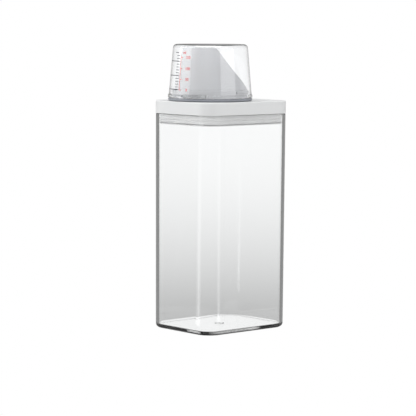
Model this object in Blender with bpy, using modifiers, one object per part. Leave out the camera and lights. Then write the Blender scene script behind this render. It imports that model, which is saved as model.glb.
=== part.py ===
"""Detergent dispenser bottle: a clear square container with a lid, a pouring spout and a measuring cup.

Units are metres, +Z is up.  The origin is the centre of the container's foot, X runs along the long
side and Y along the short side.  The cup, its seal and the spout share one upright axis, which stands
over the -X half of the lid; the spout's mouth opens towards +X.
"""
import math

import bmesh
import bpy

# ---- driving dimensions ----------------------------------------------------------------------------
LENGTH = 0.105              # lid, along X
WIDTH = 0.085               # lid, along Y
HEIGHT = 0.265              # foot to the top of the seated cup
CORNER_RADIUS = 0.0167      # the lid's upright corners
GAP = 0.0003                # between pieces that touch

CONTAINER_INSET = 0.0002    # the lid stands out past the container by this much
CONTAINER_TOP = 0.2007
CONTAINER_DRAFT = 0.00055   # each side leans in by this much from the rim to the foot
CONTAINER_WALL = 0.003
CONTAINER_FLOOR = 0.0035
FOOT_RADIUS = 0.004
INNER_FOOT_RADIUS = 0.0012

LID_BOTTOM = CONTAINER_TOP + GAP
LID_TOP = 0.2128
LID_WALL = 0.0022
LID_EDGE_RADIUS = 0.0008

PLUG_BOTTOM = 0.1913
PLUG_PLATE = 0.002
PLUG_WALL = 0.0018
PLUG_INSET = 0.002          # from the container's inside to the plug's wall
PLUG_LEDGE_HEIGHT = 0.001
PLUG_LEDGE_INSET = 0.0007   # from the container's inside to the ledge under the seal
THROAT_TOP = 0.2085

SEAL_BAND_INSET = 0.0008    # from the container's inside to the seal's band
SEAL_TOP = 0.2004
SEAL_LIP_HEIGHT = 0.0009
SEAL_UPPER_LIP = 0.196      # height of the upper lip's lower face

AXIS_X = -0.0134            # axis of the cup, the cup's seal and the spout's collar
FLOW_X = -0.0118            # axis of the spout's neck and beak
NECK_RADIUS = 0.0296
NECK_BOTTOM = 0.202
NECK_INNER_RADIUS = 0.0276
SNAP_RADIUS = 0.0306
SNAP_BOTTOM = 0.2091
SNAP_HEIGHT = 0.0012
COLLAR_RADIUS = 0.0349
COLLAR_TOP = 0.2232
RECESS_RADIUS = 0.0324      # recess round the neck, under the collar, for the O-ring
RECESS_DEPTH = 0.0019
SPOUT_SEAL_RADIUS = 0.031
SPOUT_SEAL_THICKNESS = 0.0017
BEAK_FOOT_RADIUS = 0.0329
BEAK_TOP_RADIUS = 0.0274
BEAK_TOP = 0.2631
BEAK_WALL = 0.002
BEAK_TOP_SLOPE = math.radians(2.5)
BEAK_SINK = 0.001           # how far the beak's foot runs down into the collar
MOUTH_RADIUS = 0.0928       # the mouth is scooped by a cylinder lying along Y
MOUTH_CENTRE_X = 0.0558
MOUTH_CENTRE_Z = 0.3049

LUG_RADIUS = 0.0358         # outside of the two lugs on the collar
LUG_BOTTOM = 0.2200
LUG_TOP = 0.2226
LUG_WIDTH = 0.028
LUG_ANGLE = math.radians(-66.0)

RING_INNER_RADIUS = 0.0354
RING_OUTER_RADIUS = 0.0391
RING_TOP = 0.2156

CUP_FOOT_RADIUS = 0.0384    # outside of the wall at the rim
CUP_TOP_RADIUS = 0.0348
CUP_TAPER_TOP = 0.2600
CUP_WALL = 0.0014
CUP_END = 0.0015
CUP_CORNER_RADIUS = 0.0036
CUP_BOTTOM = RING_TOP + GAP
FLANGE_RADIUS = 0.0391
FLANGE_TOP = 0.2187
CUP_LUG_RADIUS = 0.0353     # inside of the two lugs in the cup
CUP_LUG_TOP = 0.2192
CUP_LUG_WIDTH = 0.024

CORNER_SEGMENTS = 10
EDGE_SEGMENTS = 3
OVAL_SEGMENTS = 8            # round the section of an O-ring
TURNED_STEPS = 72
OVERSHOOT = 0.01            # how far a cutter runs past what it cuts


# ---- scene and materials ---------------------------------------------------------------------------
def clear_scene():
    """Remove whatever objects are in the file."""
    for old in list(bpy.data.objects):
        bpy.data.objects.remove(old, do_unlink=True)


def new_collection(name):
    """Make a collection under the scene's own."""
    made = bpy.data.collections.new(name)
    bpy.context.scene.collection.children.link(made)
    return made


def material(name, colour, roughness, transmission=0.0):
    """A Principled material for one sub-part."""
    made = bpy.data.materials.new(name)
    made.use_nodes = True
    shader = made.node_tree.nodes["Principled BSDF"]
    shader.inputs["Base Color"].default_value = (*colour, 1.0)
    shader.inputs["Roughness"].default_value = roughness
    shader.inputs["Metallic"].default_value = 0.0
    shader.inputs["Transmission Weight"].default_value = transmission
    return made


def add_object(name, mesh, collection, finish=None):
    """Wrap a mesh in an object, put it in a collection and give it its material."""
    made = bpy.data.objects.new(name, mesh)
    collection.objects.link(made)
    if finish is not None:
        mesh.materials.append(finish)
    return made


def hide_cutter(cutter):
    """Mark an object as a construction aid."""
    cutter.hide_render = True
    cutter.display_type = 'WIRE'


def combine(target, other, operation):
    """Cut a piece by a helper, or join a helper to it."""
    step = target.modifiers.new(operation.lower(), 'BOOLEAN')
    step.operation = operation
    step.solver = 'EXACT'
    step.object = other


def shade_round(piece, angle=math.radians(35.0)):
    """Smooth shading with the sharp edges kept."""
    piece.data.shade_smooth()
    piece.data.set_sharp_from_angle(angle=angle)


# ---- basic solids ----------------------------------------------------------------------------------
def rounded_block(name, length, width, bottom, top, radius, collection,
                  draft=0.0, foot_radius=0.0, crown_radius=0.0, finish=None):
    """An upright block with rounded corners; its foot is smaller by the draft on every side."""
    form = bmesh.new()
    bmesh.ops.create_cube(form, size=1.0)
    height = top - bottom
    bmesh.ops.scale(form, vec=(length, width, height), verts=form.verts)
    bmesh.ops.translate(form, vec=(0.0, 0.0, (top + bottom) / 2), verts=form.verts)
    middle = (top + bottom) / 2
    for vert in form.verts:
        if vert.co.z < middle:
            vert.co.x -= math.copysign(draft, vert.co.x)
            vert.co.y -= math.copysign(draft, vert.co.y)
    upright = [edge for edge in form.edges if abs(edge.verts[0].co.z - edge.verts[1].co.z) > height / 2]
    bmesh.ops.bevel(form, geom=upright, offset=radius, segments=CORNER_SEGMENTS, profile=0.5,
                    affect='EDGES')
    round_level_edges(form, bottom, foot_radius)
    round_level_edges(form, top, crown_radius)
    mesh = bpy.data.meshes.new(name)
    form.to_mesh(mesh)
    form.free()
    return add_object(name, mesh, collection, finish)


def round_level_edges(form, height, radius):
    """Round the edges that bound the block's face at one height."""
    if radius <= 0.0:
        return
    tolerance = 1e-6
    edges = [edge for edge in form.edges
             if all(abs(vert.co.z - height) < tolerance for vert in edge.verts)]
    bmesh.ops.bevel(form, geom=edges, offset=radius, segments=EDGE_SEGMENTS, profile=0.5,
                    affect='EDGES')


def turned(name, profile, x, collection, finish=None, closed=False):
    """Turn a profile of (radius, height) points, listed down its outer side, about an upright axis."""
    mesh = bpy.data.meshes.new(name)
    count = len(profile)
    edges = [(index, index + 1) for index in range(count - 1)]
    if closed:
        edges.append((count - 1, 0))
    mesh.from_pydata([(radius, 0.0, height) for radius, height in profile], edges, [])
    made = add_object(name, mesh, collection, finish)
    made.location.x = x
    screw = made.modifiers.new("turn", 'SCREW')
    screw.axis = 'Z'
    screw.steps = TURNED_STEPS
    screw.render_steps = TURNED_STEPS
    screw.use_merge_vertices = True
    screw.merge_threshold = 0.00001
    screw.use_smooth_shade = True
    return made


def bar(name, width, bottom, top, angle, collection):
    """A level bar through the cup's axis, long enough to cross the whole collar."""
    form = bmesh.new()
    bmesh.ops.create_cube(form, size=1.0)
    bmesh.ops.scale(form, vec=(LENGTH, width, top - bottom), verts=form.verts)
    mesh = bpy.data.meshes.new(name)
    form.to_mesh(mesh)
    form.free()
    made = add_object(name, mesh, collection)
    made.location = (AXIS_X, 0.0, (bottom + top) / 2)
    made.rotation_euler.z = angle
    hide_cutter(made)
    return made


def arc_points(centre, radius, start, end, segments):
    """Points on an arc in the (radius, height) plane, angles in degrees."""
    points = []
    for index in range(segments + 1):
        angle = math.radians(start + (end - start) * index / segments)
        points.append((centre[0] + radius * math.cos(angle), centre[1] + radius * math.sin(angle)))
    return points


def inside_length(inset):
    """The container's inner length at the rim, less an inset on both sides."""
    return LENGTH - 2 * (CONTAINER_INSET + CONTAINER_WALL + inset)


def inside_width(inset):
    """The container's inner width at the rim, less an inset on both sides."""
    return WIDTH - 2 * (CONTAINER_INSET + CONTAINER_WALL + inset)


def inside_radius(inset):
    """The container's inner corner radius, less an inset."""
    return CORNER_RADIUS - CONTAINER_INSET - CONTAINER_WALL - inset


# ---- the pieces ------------------------------------------------------------------------------------
def build_container(parts, cutters):
    """The clear container: drafted walls, a floor a little thicker than they are and a rounded foot."""
    finish = material("clear_plastic", (0.93, 0.94, 0.95), 0.05, transmission=0.9)
    body = rounded_block("container", LENGTH - 2 * CONTAINER_INSET, WIDTH - 2 * CONTAINER_INSET,
                         0.0, CONTAINER_TOP, CORNER_RADIUS - CONTAINER_INSET, parts,
                         draft=CONTAINER_DRAFT, foot_radius=FOOT_RADIUS, finish=finish)
    inner_draft = CONTAINER_DRAFT * (CONTAINER_TOP - CONTAINER_FLOOR) / CONTAINER_TOP
    hollow = rounded_block("container_hollow", inside_length(0.0), inside_width(0.0),
                           CONTAINER_FLOOR, CONTAINER_TOP + OVERSHOOT, inside_radius(0.0), cutters,
                           draft=inner_draft, foot_radius=INNER_FOOT_RADIUS)
    hide_cutter(hollow)
    combine(body, hollow, 'DIFFERENCE')
    shade_round(body)


def build_lid_cover(parts, cutters):
    """The lid's outer shell: a skirt flush with the container, and a hole for the spout's neck."""
    finish = material("white_plastic", (0.86, 0.87, 0.88), 0.35)
    cover = rounded_block("lid_cover", LENGTH, WIDTH, LID_BOTTOM, LID_TOP, CORNER_RADIUS, parts,
                          crown_radius=LID_EDGE_RADIUS, finish=finish)
    hollow = rounded_block("cover_hollow", LENGTH - 2 * LID_WALL, WIDTH - 2 * LID_WALL,
                           LID_BOTTOM - OVERSHOOT, LID_TOP - LID_WALL, CORNER_RADIUS - LID_WALL, cutters)
    hide_cutter(hollow)
    combine(cover, hollow, 'DIFFERENCE')
    hole_radius = NECK_RADIUS + GAP
    hole = turned("cover_hole", [(0.0, LID_TOP + OVERSHOOT), (hole_radius, LID_TOP + OVERSHOOT),
                                 (hole_radius, LID_BOTTOM), (0.0, LID_BOTTOM)], FLOW_X, cutters)
    hide_cutter(hole)
    combine(cover, hole, 'DIFFERENCE')
    shade_round(cover)


def build_lid_plug(parts, cutters):
    """The lid's inner shell: a plate on the rim, a wall inside it, a ledge and a throat for the neck."""
    finish = material("white_liner_plastic", (0.88, 0.88, 0.88), 0.4)
    plate_inset = LID_WALL + GAP
    plug = rounded_block("lid_plug", LENGTH - 2 * plate_inset, WIDTH - 2 * plate_inset, LID_BOTTOM,
                         LID_BOTTOM + PLUG_PLATE, CORNER_RADIUS - plate_inset, parts, finish=finish)
    wall = rounded_block("plug_wall", inside_length(PLUG_INSET), inside_width(PLUG_INSET), PLUG_BOTTOM,
                         LID_BOTTOM + PLUG_PLATE / 2, inside_radius(PLUG_INSET), cutters)
    ledge = rounded_block("plug_ledge", inside_length(PLUG_LEDGE_INSET), inside_width(PLUG_LEDGE_INSET),
                          PLUG_BOTTOM, PLUG_BOTTOM + PLUG_LEDGE_HEIGHT,
                          inside_radius(PLUG_LEDGE_INSET), cutters)
    throat_radius = NECK_RADIUS + GAP
    collar_radius = throat_radius + PLUG_WALL
    collar = turned("plug_throat", [(0.0, THROAT_TOP), (collar_radius, THROAT_TOP),
                                    (collar_radius, LID_BOTTOM + PLUG_PLATE / 2),
                                    (0.0, LID_BOTTOM + PLUG_PLATE / 2)], FLOW_X, cutters)
    for helper in (wall, ledge, collar):
        hide_cutter(helper)
        combine(plug, helper, 'UNION')
    hollow_inset = PLUG_INSET + PLUG_WALL
    hollow = rounded_block("plug_hollow", inside_length(hollow_inset), inside_width(hollow_inset),
                           PLUG_BOTTOM - OVERSHOOT, LID_BOTTOM, inside_radius(hollow_inset), cutters)
    bore = turned("plug_bore", [(0.0, LID_TOP), (throat_radius, LID_TOP),
                                (throat_radius, PLUG_BOTTOM), (0.0, PLUG_BOTTOM)], FLOW_X, cutters)
    for helper in (hollow, bore):
        hide_cutter(helper)
        combine(plug, helper, 'DIFFERENCE')
    shade_round(plug)


def build_lid_seal(parts, cutters):
    """The silicone seal round the plug: a band with two lips that wipe the container's wall."""
    finish = material("silicone", (0.80, 0.80, 0.80), 0.45)
    bottom = PLUG_BOTTOM + PLUG_LEDGE_HEIGHT + GAP
    seal = rounded_block("lid_seal", inside_length(SEAL_BAND_INSET), inside_width(SEAL_BAND_INSET),
                         bottom, SEAL_TOP, inside_radius(SEAL_BAND_INSET), parts, finish=finish)
    for name, height in (("upper_lip", SEAL_UPPER_LIP), ("lower_lip", bottom)):
        lip = rounded_block(name, inside_length(GAP), inside_width(GAP), height,
                            height + SEAL_LIP_HEIGHT, inside_radius(GAP), cutters)
        hide_cutter(lip)
        combine(seal, lip, 'UNION')
    inner = PLUG_INSET - GAP
    hollow = rounded_block("seal_hollow", inside_length(inner), inside_width(inner),
                           PLUG_BOTTOM - OVERSHOOT, LID_TOP, inside_radius(inner), cutters)
    hide_cutter(hollow)
    combine(seal, hollow, 'DIFFERENCE')
    shade_round(seal)


def beak_radius(height):
    """Outside radius of the beak's cone at one height."""
    share = (height - COLLAR_TOP) / (BEAK_TOP - COLLAR_TOP)
    return BEAK_FOOT_RADIUS + (BEAK_TOP_RADIUS - BEAK_FOOT_RADIUS) * share


def build_pour_spout(parts, cutters):
    """The pouring spout: a neck through the lid, a collar with two lugs and a scooped beak."""
    finish = material("spout_plastic", (0.85, 0.85, 0.86), 0.3)
    underside = LID_TOP + GAP
    recess_top = underside + RECESS_DEPTH
    foot = COLLAR_TOP - BEAK_SINK
    bore_top = BEAK_TOP + OVERSHOOT
    snap_top = SNAP_BOTTOM + SNAP_HEIGHT
    spout = turned("pour_spout", [(0.0, COLLAR_TOP), (COLLAR_RADIUS, COLLAR_TOP),
                                  (COLLAR_RADIUS, underside), (0.0, underside)], AXIS_X, parts, finish)
    recess = turned("seal_recess", [(0.0, recess_top), (RECESS_RADIUS, recess_top),
                                    (RECESS_RADIUS, LID_TOP), (0.0, LID_TOP)], FLOW_X, cutters)
    neck = turned("neck", [(0.0, recess_top + BEAK_SINK), (NECK_RADIUS, recess_top + BEAK_SINK),
                           (NECK_RADIUS, snap_top), (SNAP_RADIUS, snap_top), (NECK_RADIUS, SNAP_BOTTOM),
                           (NECK_RADIUS, NECK_BOTTOM), (0.0, NECK_BOTTOM)], FLOW_X, cutters)
    beak = turned("beak", [(0.0, BEAK_TOP), (BEAK_TOP_RADIUS, BEAK_TOP), (beak_radius(foot), foot),
                           (0.0, foot)], FLOW_X, cutters)
    lugs = turned("spout_lugs", [(0.0, LUG_TOP), (LUG_RADIUS, LUG_TOP), (LUG_RADIUS, LUG_BOTTOM),
                                 (0.0, LUG_BOTTOM)], AXIS_X, cutters)
    combine(lugs, bar("spout_lug_bar", LUG_WIDTH, LUG_BOTTOM - GAP, LUG_TOP + GAP, LUG_ANGLE, cutters),
            'INTERSECT')
    bore = turned("spout_bore", [
        (0.0, bore_top), (beak_radius(bore_top) - BEAK_WALL, bore_top),
        (beak_radius(COLLAR_TOP) - BEAK_WALL, COLLAR_TOP), (NECK_INNER_RADIUS, LID_TOP),
        (NECK_INNER_RADIUS, NECK_BOTTOM - OVERSHOOT), (0.0, NECK_BOTTOM - OVERSHOOT)], FLOW_X, cutters)
    mouth = turned("mouth_scoop", [(0.0, LENGTH), (MOUTH_RADIUS, LENGTH), (MOUTH_RADIUS, -LENGTH),
                                   (0.0, -LENGTH)], MOUTH_CENTRE_X, cutters)
    mouth.location.z = MOUTH_CENTRE_Z
    mouth.rotation_euler.x = math.radians(90.0)
    top_cut = rounded_block("beak_top_cut", LENGTH, WIDTH, 0.0, OVERSHOOT, FOOT_RADIUS, cutters)
    top_cut.location = (FLOW_X - BEAK_TOP_RADIUS, 0.0, BEAK_TOP - GAP)
    top_cut.rotation_euler.y = BEAK_TOP_SLOPE
    for helper in (mouth, top_cut):
        hide_cutter(helper)
        combine(beak, helper, 'DIFFERENCE')
    for helper, operation in ((beak, 'UNION'), (lugs, 'UNION'), (recess, 'DIFFERENCE'),
                              (neck, 'UNION'), (bore, 'DIFFERENCE')):
        hide_cutter(helper)
        combine(spout, helper, operation)


def build_spout_seal(parts):
    """The O-ring in the recess under the spout's collar."""
    finish = material("spout_seal_silicone", (0.78, 0.79, 0.80), 0.45)
    radius = SPOUT_SEAL_THICKNESS / 2
    centre = (SPOUT_SEAL_RADIUS, LID_TOP + GAP + radius)
    ring = arc_points(centre, radius, 0.0, -360.0, OVAL_SEGMENTS)[:-1]
    turned("spout_seal", ring, FLOW_X, parts, finish, closed=True)


def build_cup_seal(parts):
    """The soft ring that lies on the lid round the collar, under the cup's flange."""
    finish = material("cup_seal_silicone", (0.72, 0.74, 0.77), 0.3)
    bottom = LID_TOP + GAP
    edge = 0.0007
    profile = [(RING_INNER_RADIUS, RING_TOP)]
    profile += arc_points((RING_OUTER_RADIUS - edge, RING_TOP - edge), edge, 90.0, 0.0, EDGE_SEGMENTS)
    profile += arc_points((RING_OUTER_RADIUS - edge, bottom + edge), edge, 0.0, -90.0, EDGE_SEGMENTS)
    profile += [(RING_INNER_RADIUS, bottom)]
    turned("cup_seal", profile, AXIS_X, parts, finish, closed=True)


def cup_radius(height):
    """Outside radius of the cup's tapered wall at one height."""
    share = (height - FLANGE_TOP) / (CUP_TAPER_TOP - FLANGE_TOP)
    return CUP_FOOT_RADIUS + (CUP_TOP_RADIUS - CUP_FOOT_RADIUS) * share


def build_measuring_cup(parts, cutters):
    """The clear cup, worn upside down as the cap: tapered wall, rim flange and two inner lugs."""
    finish = material("cup_plastic", (0.93, 0.94, 0.95), 0.04, transmission=0.9)
    inner_top = HEIGHT - CUP_END
    corner = HEIGHT - CUP_CORNER_RADIUS
    inner_corner_radius = CUP_CORNER_RADIUS - CUP_WALL
    inner_corner = inner_top - inner_corner_radius
    edge = 0.0006
    profile = [(0.0, HEIGHT)]
    profile += arc_points((cup_radius(corner) - CUP_CORNER_RADIUS, corner), CUP_CORNER_RADIUS,
                          90.0, 0.0, 2 * EDGE_SEGMENTS)
    profile += [(cup_radius(FLANGE_TOP), FLANGE_TOP)]
    profile += arc_points((FLANGE_RADIUS - edge, FLANGE_TOP - edge), edge, 90.0, 0.0, EDGE_SEGMENTS)
    profile += [(FLANGE_RADIUS, CUP_BOTTOM), (cup_radius(CUP_BOTTOM) - CUP_WALL, CUP_BOTTOM)]
    profile += arc_points((cup_radius(inner_corner) - CUP_WALL - inner_corner_radius, inner_corner),
                          inner_corner_radius, 0.0, 90.0, EDGE_SEGMENTS)
    profile += [(0.0, inner_top)]
    cup = turned("measuring_cup", profile, AXIS_X, parts, finish)
    lug_outer = cup_radius(CUP_BOTTOM) - CUP_WALL / 2
    lugs = turned("cup_lugs", [(CUP_LUG_RADIUS, CUP_LUG_TOP), (lug_outer, CUP_LUG_TOP),
                               (lug_outer, CUP_BOTTOM + edge), (CUP_LUG_RADIUS, CUP_BOTTOM + edge)],
                  AXIS_X, cutters, closed=True)
    hide_cutter(lugs)
    crossing = bar("cup_lug_bar", CUP_LUG_WIDTH, CUP_BOTTOM, CUP_LUG_TOP + GAP,
                   LUG_ANGLE + math.radians(90.0), cutters)
    combine(lugs, crossing, 'INTERSECT')
    combine(cup, lugs, 'UNION')


def main():
    clear_scene()
    parts = new_collection("detergent_dispenser_bottle")
    cutters = new_collection("cutters")
    build_container(parts, cutters)
    build_lid_cover(parts, cutters)
    build_lid_plug(parts, cutters)
    build_lid_seal(parts, cutters)
    build_pour_spout(parts, cutters)
    build_spout_seal(parts)
    build_cup_seal(parts)
    build_measuring_cup(parts, cutters)


main()
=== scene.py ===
"""Looks of the detergent dispenser bottle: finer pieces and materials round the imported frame.

Units are metres.  Pieces take their places from the frame's boxes.  Wall thicknesses, fillets and the few
heights that lie inside a box are named here.
"""

import math

import bmesh
import bpy
from mathutils import Matrix, Vector


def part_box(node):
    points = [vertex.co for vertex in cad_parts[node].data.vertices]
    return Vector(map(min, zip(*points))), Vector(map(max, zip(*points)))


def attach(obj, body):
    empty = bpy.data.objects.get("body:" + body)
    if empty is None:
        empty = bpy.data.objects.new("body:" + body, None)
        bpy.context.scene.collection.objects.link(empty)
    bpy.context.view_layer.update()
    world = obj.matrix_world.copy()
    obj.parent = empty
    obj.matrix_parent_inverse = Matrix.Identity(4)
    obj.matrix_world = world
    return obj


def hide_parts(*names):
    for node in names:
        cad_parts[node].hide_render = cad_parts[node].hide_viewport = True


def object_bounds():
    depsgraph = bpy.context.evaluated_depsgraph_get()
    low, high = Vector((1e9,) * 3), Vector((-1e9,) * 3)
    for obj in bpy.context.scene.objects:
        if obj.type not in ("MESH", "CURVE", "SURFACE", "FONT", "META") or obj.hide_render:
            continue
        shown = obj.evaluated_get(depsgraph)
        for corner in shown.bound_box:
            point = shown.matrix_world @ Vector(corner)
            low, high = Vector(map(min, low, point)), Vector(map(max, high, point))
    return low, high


MM = 0.001

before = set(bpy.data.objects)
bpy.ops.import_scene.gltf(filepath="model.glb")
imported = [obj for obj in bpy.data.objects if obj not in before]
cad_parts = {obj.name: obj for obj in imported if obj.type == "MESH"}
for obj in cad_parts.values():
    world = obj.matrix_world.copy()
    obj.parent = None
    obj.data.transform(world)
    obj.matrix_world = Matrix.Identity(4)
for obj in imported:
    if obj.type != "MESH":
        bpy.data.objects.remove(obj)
cad_low, cad_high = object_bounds()

# ---- places, from the frame ------------------------------------------------------------------------
body_low, body_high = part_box("container")
lid_low, lid_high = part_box("lid_cover")
plug_low, plug_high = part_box("lid_plug")
seal_low, seal_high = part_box("lid_seal")
spout_low, spout_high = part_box("pour_spout")
oring_low, oring_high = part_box("spout_seal")
ring_low, ring_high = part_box("cup_seal")
cup_low, cup_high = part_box("measuring_cup")

AXIS_X = (cup_low.x + cup_high.x) / 2           # the cup and the collar
FLOW_X = (oring_low.x + oring_high.x) / 2       # the neck and the beak
HALF_HEIGHT = (cad_low.z + cad_high.z) / 2

# ---- sizes the frame doesn't hold ------------------------------------------------------------------
EDGE = 0.3 * MM                # small broken edges
SUPPORT = 0.6 * MM             # from a fillet to the support ring beside it
CAP_MARGIN = 2.0 * MM          # from a corner's centre to the last ring before a flat cap
CAP_RADIUS = 3.0 * MM          # the flat cap in the middle of a turned piece's closed end
CORNER = 16.5 * MM             # the container's upright corners
WALL = 3.0 * MM
FLOOR = 3.5 * MM
DRAFT = 0.55 * MM
FOOT_RADIUS = 4.0 * MM
INNER_FOOT_RADIUS = 1.2 * MM
RIM_RADIUS = 0.7 * MM
GATE_RADIUS = 3.0 * MM         # the moulding gate's mark in the middle of the container's floor
GATE_HEIGHT = 0.5 * MM
LID_WALL = 2.2 * MM
LID_EDGE = 0.9 * MM
PLUG_PLATE = 2.0 * MM
PLUG_WALL = 1.8 * MM
PLUG_GAP = 2.0 * MM            # from the container's inside to the plug's wall
PLUG_SEAL_STEP = 1.3 * MM      # from the ledge's outside to the plug's wall
LEDGE_HEIGHT = 1.0 * MM
LEAST_RADIUS = 1.0 * MM        # of the liner's inmost corners
SEAL_UPPER_LIP = 196.0 * MM    # foot of the gasket's upper lip
THROAT_GAP = 0.3 * MM
NECK_RADIUS = 29.6 * MM
NECK_INNER = 27.6 * MM
NECK_SUPPORT = 209.0 * MM      # a support ring part-way up the neck
NECK_WIDENS = 216.0 * MM       # the neck widens to the beak's foot inside the collar,
NECK_WIDE = 218.0 * MM         # between these heights
COLLAR_RADIUS = 34.9 * MM
COLLAR_HEIGHT = 10.4 * MM      # above the lid's top
COLLAR_FOOT = 11.1 * MM        # above the neck's lower end
COLLAR_BORE = 31.0 * MM
BEAK_FOOT = 32.9 * MM
BEAK_TIP = 27.4 * MM
BEAK_WALL = 2.0 * MM
CUP_FOOT = 38.4 * MM
CUP_TIP = 34.8 * MM
CUP_WALL = 1.4 * MM
CUP_CORNER = 3.6 * MM
CUP_END = 1.5 * MM
CUP_FLANGE = 2.8 * MM
CUP_TAPER = 41.3 * MM          # height over which the cup narrows from foot to tip

CORNER_STEPS = 28
TURN_STEPS = 160
SIDE_SHARES = (0.02, 0.25, 0.5, 0.75, 0.98)         # support points along a straight side
WALL_SHARES = (0.01, 0.25, 0.5, 0.75, 0.985)        # support rings up a wall
WHITE = (1.0, 1.0, 1.0)


# ---- camera ----------------------------------------------------------------------------------------
CAMERA_AZIMUTH = math.radians(-41.232)
CAMERA_PITCH = math.radians(5.534)
CAMERA_ROLL = math.radians(0.380)
CAMERA_DISTANCE = 1.8893
CAMERA_LENS = 174.85
SENSOR_WIDTH = 36.0
CAMERA_SLIDE = (-0.0114, -0.0205)                   # across and up, from the object's middle


def make_camera():
    """A long lens, a little above the object, that looks at the upright edge between two faces."""
    data = bpy.data.cameras.new("camera")
    data.lens = CAMERA_LENS
    data.sensor_width = SENSOR_WIDTH
    camera = bpy.data.objects.new("camera", data)
    bpy.context.scene.collection.objects.link(camera)
    cos_pitch = math.cos(CAMERA_PITCH)
    back = Vector((math.sin(CAMERA_AZIMUTH) * cos_pitch, -math.cos(CAMERA_AZIMUTH) * cos_pitch,
                   math.sin(CAMERA_PITCH)))
    right = Vector((math.cos(CAMERA_AZIMUTH), math.sin(CAMERA_AZIMUTH), 0.0))
    up = back.cross(right)
    place = (Vector((0.0, 0.0, HALF_HEIGHT)) + right * CAMERA_SLIDE[0] + up * CAMERA_SLIDE[1]
             + back * CAMERA_DISTANCE)
    cos_roll, sin_roll = math.cos(CAMERA_ROLL), math.sin(CAMERA_ROLL)
    turn = Matrix((right * cos_roll + up * sin_roll, up * cos_roll - right * sin_roll, back)).transposed()
    camera.matrix_world = Matrix.Translation(place) @ turn.to_4x4()
    bpy.context.scene.camera = camera


make_camera()


# ---- node helpers ----------------------------------------------------------------------------------
def new_material(name):
    """A material with an empty Principled BSDF, its node tree and its shader."""
    made = bpy.data.materials.new(name)
    made.use_nodes = True
    return made, made.node_tree, made.node_tree.nodes["Principled BSDF"]


def noise(tree, scale, detail=4.0, roughness=0.5, stretch=WHITE):
    """Noise over the object's own coordinates, which are metres in the shared frame."""
    place = tree.nodes.new("ShaderNodeTexCoord")
    mapping = tree.nodes.new("ShaderNodeMapping")
    mapping.inputs["Scale"].default_value = stretch
    made = tree.nodes.new("ShaderNodeTexNoise")
    made.inputs["Scale"].default_value = scale
    made.inputs["Detail"].default_value = detail
    made.inputs["Roughness"].default_value = roughness
    tree.links.new(place.outputs["Object"], mapping.inputs["Vector"])
    tree.links.new(mapping.outputs["Vector"], made.inputs["Vector"])
    return made.outputs["Fac"]


def spread(tree, source, low, high, from_low=0.3, from_high=0.7):
    """Map a noise onto a range of values."""
    made = tree.nodes.new("ShaderNodeMapRange")
    made.inputs["From Min"].default_value = from_low
    made.inputs["From Max"].default_value = from_high
    made.inputs["To Min"].default_value = low
    made.inputs["To Max"].default_value = high
    tree.links.new(source, made.inputs["Value"])
    return made.outputs["Result"]


def bump(tree, shader, height, strength, distance):
    """Raise the surface by a height map, in metres."""
    made = tree.nodes.new("ShaderNodeBump")
    made.inputs["Strength"].default_value = strength
    made.inputs["Distance"].default_value = distance
    tree.links.new(height, made.inputs["Height"])
    tree.links.new(made.outputs["Normal"], shader.inputs["Normal"])


def mixed_colour(tree, factor, first, second):
    """Blend two colours by a factor."""
    made = tree.nodes.new("ShaderNodeMix")
    made.data_type = 'RGBA'
    made.inputs["A"].default_value = (*first, 1.0)
    made.inputs["B"].default_value = (*second, 1.0)
    tree.links.new(factor, made.inputs["Factor"])
    return made.outputs["Result"]


# ---- the object's materials ------------------------------------------------------------------------
def clear_plastic(name, tint, ior, wave):
    """Clear moulded plastic: faint haze in patches and slow waves in the wall."""
    made, tree, shader = new_material(name)
    shader.inputs["Base Color"].default_value = (*tint, 1.0)
    shader.inputs["Transmission Weight"].default_value = 1.0
    shader.inputs["IOR"].default_value = ior
    haze = noise(tree, 35.0, detail=5.0)
    rough = spread(tree, haze, 0.004, 0.022, 0.35, 0.75)
    tree.links.new(rough, shader.inputs["Roughness"])
    slow = noise(tree, 14.0, detail=1.0, stretch=(1.0, 1.0, 0.35))
    bump(tree, shader, slow, 1.0, wave)
    return made


def white_moulding(name, colour, shade, roughness, grain):
    """White moulded plastic: slightly uneven gloss, a fine grain and a trace of colour variation."""
    made, tree, shader = new_material(name)
    cloud = noise(tree, 22.0, detail=6.0)
    tree.links.new(mixed_colour(tree, spread(tree, cloud, 0.0, 1.0), colour, shade),
                   shader.inputs["Base Color"])
    fine = noise(tree, 900.0, detail=3.0)
    tree.links.new(spread(tree, fine, roughness - 0.04, roughness + 0.05), shader.inputs["Roughness"])
    shader.inputs["IOR"].default_value = 1.5
    bump(tree, shader, fine, 0.35, grain)
    return made


def silicone(name, colour, shade, roughness, clear):
    """Soft translucent silicone with a dusty, slightly patchy surface."""
    made, tree, shader = new_material(name)
    cloud = noise(tree, 60.0, detail=5.0)
    tree.links.new(mixed_colour(tree, spread(tree, cloud, 0.0, 1.0), colour, shade),
                   shader.inputs["Base Color"])
    tree.links.new(spread(tree, cloud, roughness - 0.06, roughness + 0.08), shader.inputs["Roughness"])
    shader.inputs["IOR"].default_value = 1.41
    shader.inputs["Transmission Weight"].default_value = clear
    fine = noise(tree, 700.0, detail=3.0)
    bump(tree, shader, fine, 0.3, 0.00003)
    return made


def printed_ink(name, colour, worn):
    """Pad-printed ink, a little thin and worn in places."""
    made, tree, shader = new_material(name)
    patch = noise(tree, 500.0, detail=4.0)
    tree.links.new(mixed_colour(tree, spread(tree, patch, 0.0, 1.0, 0.4, 0.8), colour, worn),
                   shader.inputs["Base Color"])
    tree.links.new(spread(tree, patch, 0.4, 0.6), shader.inputs["Roughness"])
    bump(tree, shader, patch, 0.3, 0.00001)
    return made


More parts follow.
